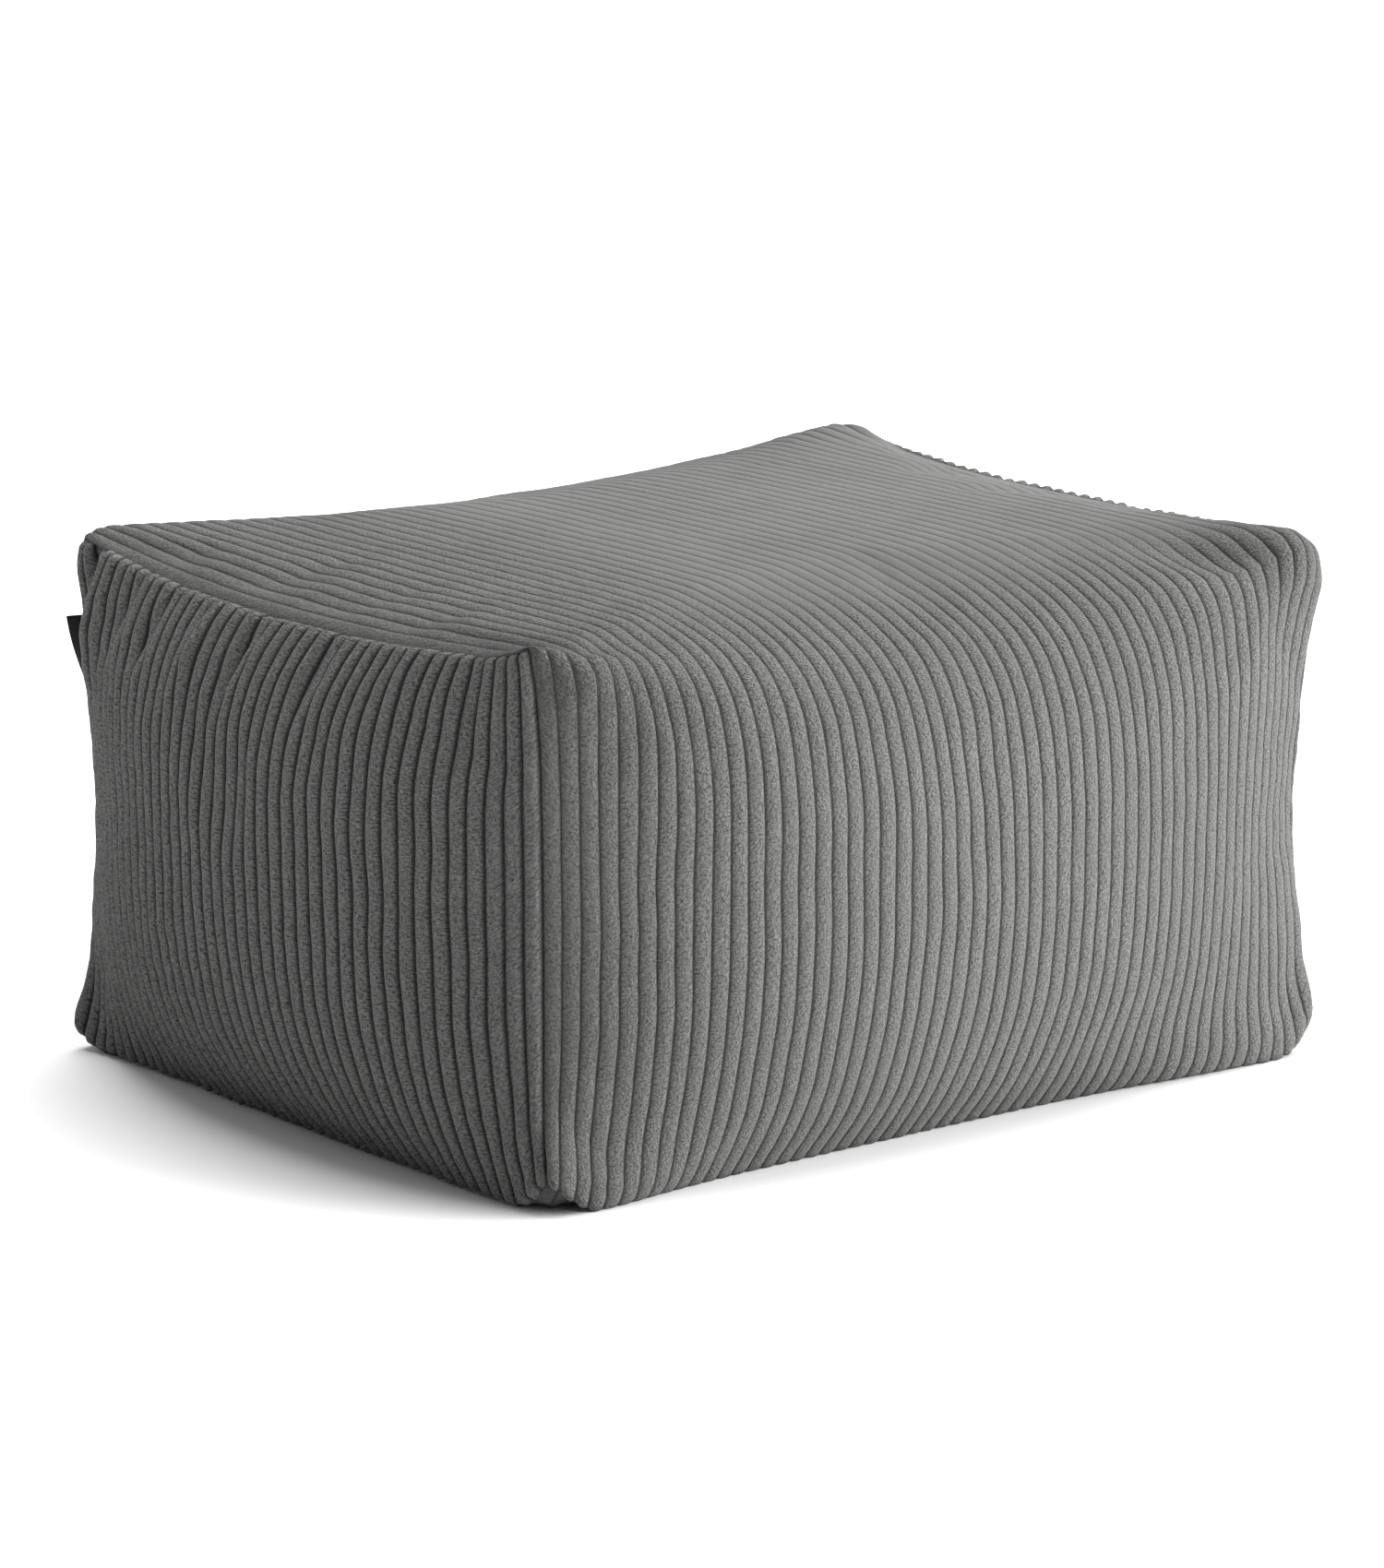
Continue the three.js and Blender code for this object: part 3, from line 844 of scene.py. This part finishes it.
def makeMainBand():
    lines, places = waleLines(wale["bandCount"], wale["bandCrowding"])
    stops = np.concatenate([
        np.linspace(0, 1, band["rowsFront"], endpoint=False),
        np.linspace(1, 2, band["rowsTop"], endpoint=False),
        np.linspace(2, 3, band["rowsBack"]),
    ])
    lengths = np.cumsum((0, form["cornerHeight"], form["cornerDepth"], form["cornerHeight"]))
    up = np.interp(stops, (0, 1, 2, 3), lengths)
    halfWidth = form["cornerLength"] / 2
    strayed = wander(lines[None, :], up[:, None], halfWidth, seed=21)
    smooth = bandForm(strayed, stops[:, None]) * mm
    if relief:
        columns = (lines + 1) / 2 * cover["stepsAcross"]
        smooth = smooth + carryOver(relief[band["name"]], bandPlace(stops), columns)
    pressed = creaseDepth(band["name"], strayed * halfWidth, up[:, None]) * mm
    smooth = smooth + clothNormals(smooth) * pressed[..., None]
    # the pile lies flatter on the top, away from its left side
    inTop = np.minimum(stops - band["topFrom"], band["topTo"] - stops)
    onTop = np.clip(inTop / band["topBlend"], 0, 1)[:, None]
    offLeft = np.clip((lines[None, :] - band["calmFrom"]) / band["calmBlend"], 0, 1)
    height = wale["bandHeight"] * (1 - wale["calmTop"] * onTop * offLeft)
    raised, along = raiseWales(smooth, places, height, wale["bandRoundness"], False, 31, onTop)
    shape = layGrid(raised, places, along)
    closeOpenSide(shape)
    return finishPiece(band["name"], shape, corduroy)


def closeOpenSide(shape):
    # the cloth goes on inside the pouf: draw its edge in to the middle of the filling and close it
    rim = [edge for edge in shape.edges if edge.is_boundary]
    centre = Vector(band["insideCentre"])
    for share in band["insideShares"]:
        extruded = bmesh.ops.extrude_edge_only(shape, edges=rim)["geom"]
        moved = [item for item in extruded if isinstance(item, bmesh.types.BMVert)]
        rim = [item for item in extruded if isinstance(item, bmesh.types.BMEdge)]
        rim = [edge for edge in rim if edge.is_boundary]
        for vertex in moved:
            vertex.co = vertex.co.lerp(centre, share)
    bmesh.ops.holes_fill(shape, edges=rim, sides=0)
    bmesh.ops.recalc_face_normals(shape, faces=shape.faces)


mainBand = makeMainBand()
print("main band made")

# End panels: upright ribs on a swelling end
endPanel = {"rows": 110, "thickness": 3.0 * mm}


def makeEndPanel(name, side):
    lines, places = waleLines(wale["endCount"], wale["endCrowding"])
    heights = np.linspace(-1, 1, endPanel["rows"])
    up = (heights + 1) / 2 * form["cornerHeight"]
    halfWidth = form["cornerDepth"] / 2
    strayed = wander(lines[None, :], up[:, None], halfWidth, seed=41 + side)
    smooth = endForm(side, strayed, heights[:, None]) * mm
    if relief:
        rows, columns = (heights + 1) / 2 * cover["stepsUp"], (lines + 1) / 2 * cover["stepsDeep"]
        smooth = smooth + carryOver(relief[name], rows, columns)
    pressed = creaseDepth(name, strayed * halfWidth, up[:, None]) * mm
    if side < 0:
        smooth, pressed = smooth[:, ::-1], pressed[:, ::-1]
        places = places[-1] - places[::-1]
    smooth = smooth + clothNormals(smooth) * pressed[..., None]
    raised, along = raiseWales(smooth, places, wale["endHeight"], wale["endRoundness"], True, 51 + side)
    shape = layGrid(raised, places, along)
    piece = finishPiece(name, shape, endCorduroy)
    wall = piece.modifiers.new("wall", "SOLIDIFY")
    wall.thickness = endPanel["thickness"]
    wall.offset = -1
    return piece


leftEnd = makeEndPanel("leftEndPanel", -1)
rightEnd = makeEndPanel("rightEndPanel", 1)
print("end panels made")

# Base panel: flat on the floor, its corners lifted
base = {
    "name": "basePanel",
    "rows": 72,
    "columns": 88,
    "thickness": 1.6 * mm,
    "clear": 0.3,
    "tuck": 0.988,
    "sag": 15,
}


def makeBasePanel():
    a = np.sin(np.linspace(-math.pi / 2, math.pi / 2, base["columns"]))[None, :]
    b = np.sin(np.linspace(-math.pi / 2, math.pi / 2, base["rows"]))[:, None]
    points = baseForm(a, b)
    # the filling presses it down to the floor, but for its very edge
    inside = np.minimum((1 - abs(a)) * form["cornerLength"], (1 - abs(b)) * form["cornerDepth"]) / 2
    points[..., 2] -= undersideLift(a, b) * (1 - np.clip(1 - inside / base["sag"], 0, 1) ** 0.7)
    points[..., :2] *= base["tuck"]  # its edge is turned in behind the seam
    points[..., 2] -= form["underside"] - base["clear"]
    points *= mm
    places = (a[0] + 1) / 2 * wale["bandCount"]
    shape = layGrid(points, places, edgeLengths(points, 0), turned=True)
    piece = finishPiece(base["name"], shape, baseCloth)
    wall = piece.modifiers.new("wall", "SOLIDIFY")
    wall.thickness = base["thickness"]
    wall.offset = -1
    return piece


basePanel = makeBasePanel()
print("base panel made")

# Folded tab caught in the far left upright seam; its face is bare
tab = {
    "name": "labelTab",
    "height": 50 * mm,
    "out": 13 * mm,
    "gauge": 0.7 * mm,
    "halfOpen": 0.8 * mm,
    "columns": 24,
    "rows": 20,
    "root": 1.0 * mm,
    "middle": 270 * mm,
    "turnLow": -64,
    "turnHigh": 6,
}


def makeLabelTab():
    share = (tab["middle"] / mm - middle) / middle
    step = tab["height"] / 2 / mm / middle
    seamLow = Vector(endForm(-1, np.array(1.0), np.array(share - step)) * mm)
    seamHigh = Vector(endForm(-1, np.array(1.0), np.array(share + step)) * mm)
    upward = (seamHigh - seamLow).normalized()
    level = upward.cross(Vector((-1, 1, 0))).normalized()
    shape = bmesh.new()
    uvLayer = shape.loops.layers.uv.new("wales")
    bmesh.ops.create_grid(shape, x_segments=tab["columns"], y_segments=tab["rows"], size=0.5)
    for face in shape.faces:
        for loop in face.loops:
            loop[uvLayer].uv = (loop.vert.co.x, loop.vert.co.y)
    for vertex in shape.verts:
        run = vertex.co.x * 2  # -1 at one root, 0 at the fold, 1 at the other root
        height = vertex.co.y + 0.5
        degrees = tab["turnLow"] + (tab["turnHigh"] - tab["turnLow"]) * height
        turn = Quaternion(upward, math.radians(degrees))
        outward, sideways = turn @ level.cross(upward), turn @ level
        reach = tab["out"] * (1 - abs(run) ** 2.2) - tab["root"]
        swing = math.copysign(tab["halfOpen"] * (1 - (1 - abs(run)) ** 4), run) if run else 0.0
        vertex.co = seamLow + outward * reach + sideways * swing + upward * height * tab["height"]
    piece = finishPiece(tab["name"], shape, tape)
    wall = piece.modifiers.new("wall", "SOLIDIFY")
    wall.thickness = tab["gauge"]
    wall.offset = 0
    return piece


labelTab = makeLabelTab()
print("label tab made")

# Floor and light: a plain pale studio, lit from the right and above, with a shaded left side
studio = {
    "floor": (0.95, 0.95, 0.95),
    "floorHalf": 14,
    "skyRight": 0.85,
    "skyLeft": 0.02,
    "skyTurn": (-0.7, 0.35),
}
suns = [
    {"name": "topSun", "from": (0.25, 0.14, 0.96), "strength": 3.6, "spread": 60},
    {"name": "frontSun", "from": (0.75, -0.64, 0.18), "strength": 8.4, "spread": 50},
    {"name": "backSun", "from": (-0.6, 0.74, 0.3), "strength": 0.8, "spread": 60},
]


def makeFloor():
    shape = bmesh.new()
    bmesh.ops.create_grid(shape, x_segments=8, y_segments=8, size=studio["floorHalf"])
    material, _, _, shader = newMaterial("paleFloor")
    shader.inputs["Base Color"].default_value = (*studio["floor"], 1)
    shader.inputs["Roughness"].default_value = 0.85
    shader.inputs["Specular IOR Level"].default_value = 0.1
    return finishPiece("floor", shape, material)


def makeSky():
    world = bpy.data.worlds.new("studioWorld")
    world.use_nodes = True
    nodes, links = world.node_tree.nodes, world.node_tree.links
    place = nodes.new("ShaderNodeTexCoord")
    parts = nodes.new("ShaderNodeSeparateXYZ")
    links.new(place.outputs["Generated"], parts.inputs[0])
    low, high = studio["skyTurn"]
    fade = rangeNode(nodes, links, parts.outputs["X"], low, high, studio["skyLeft"], studio["skyRight"])
    links.new(fade, nodes["Background"].inputs["Strength"])
    nodes["Background"].inputs["Color"].default_value = (1, 1, 1, 1)
    bpy.context.scene.world = world


def makeSun(sun):
    data = bpy.data.lights.new(sun["name"], "SUN")
    data.energy = sun["strength"]
    data.angle = math.radians(sun["spread"])
    lamp = bpy.data.objects.new(sun["name"], data)
    bpy.context.scene.collection.objects.link(lamp)
    lamp.rotation_euler = Vector(sun["from"]).to_track_quat("Z", "Y").to_euler()


floor = makeFloor()
makeSky()
for sun in suns:
    makeSun(sun)
bpy.context.scene.view_settings.view_transform = "Standard"
print("studio made")

for piece in (mainBand, leftEnd, rightEnd, basePanel, labelTab):
    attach(piece, "root")
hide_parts("main_band")
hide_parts("end_panel_left")
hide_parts("end_panel_right")
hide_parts("base_panel")
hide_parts("label_tab")
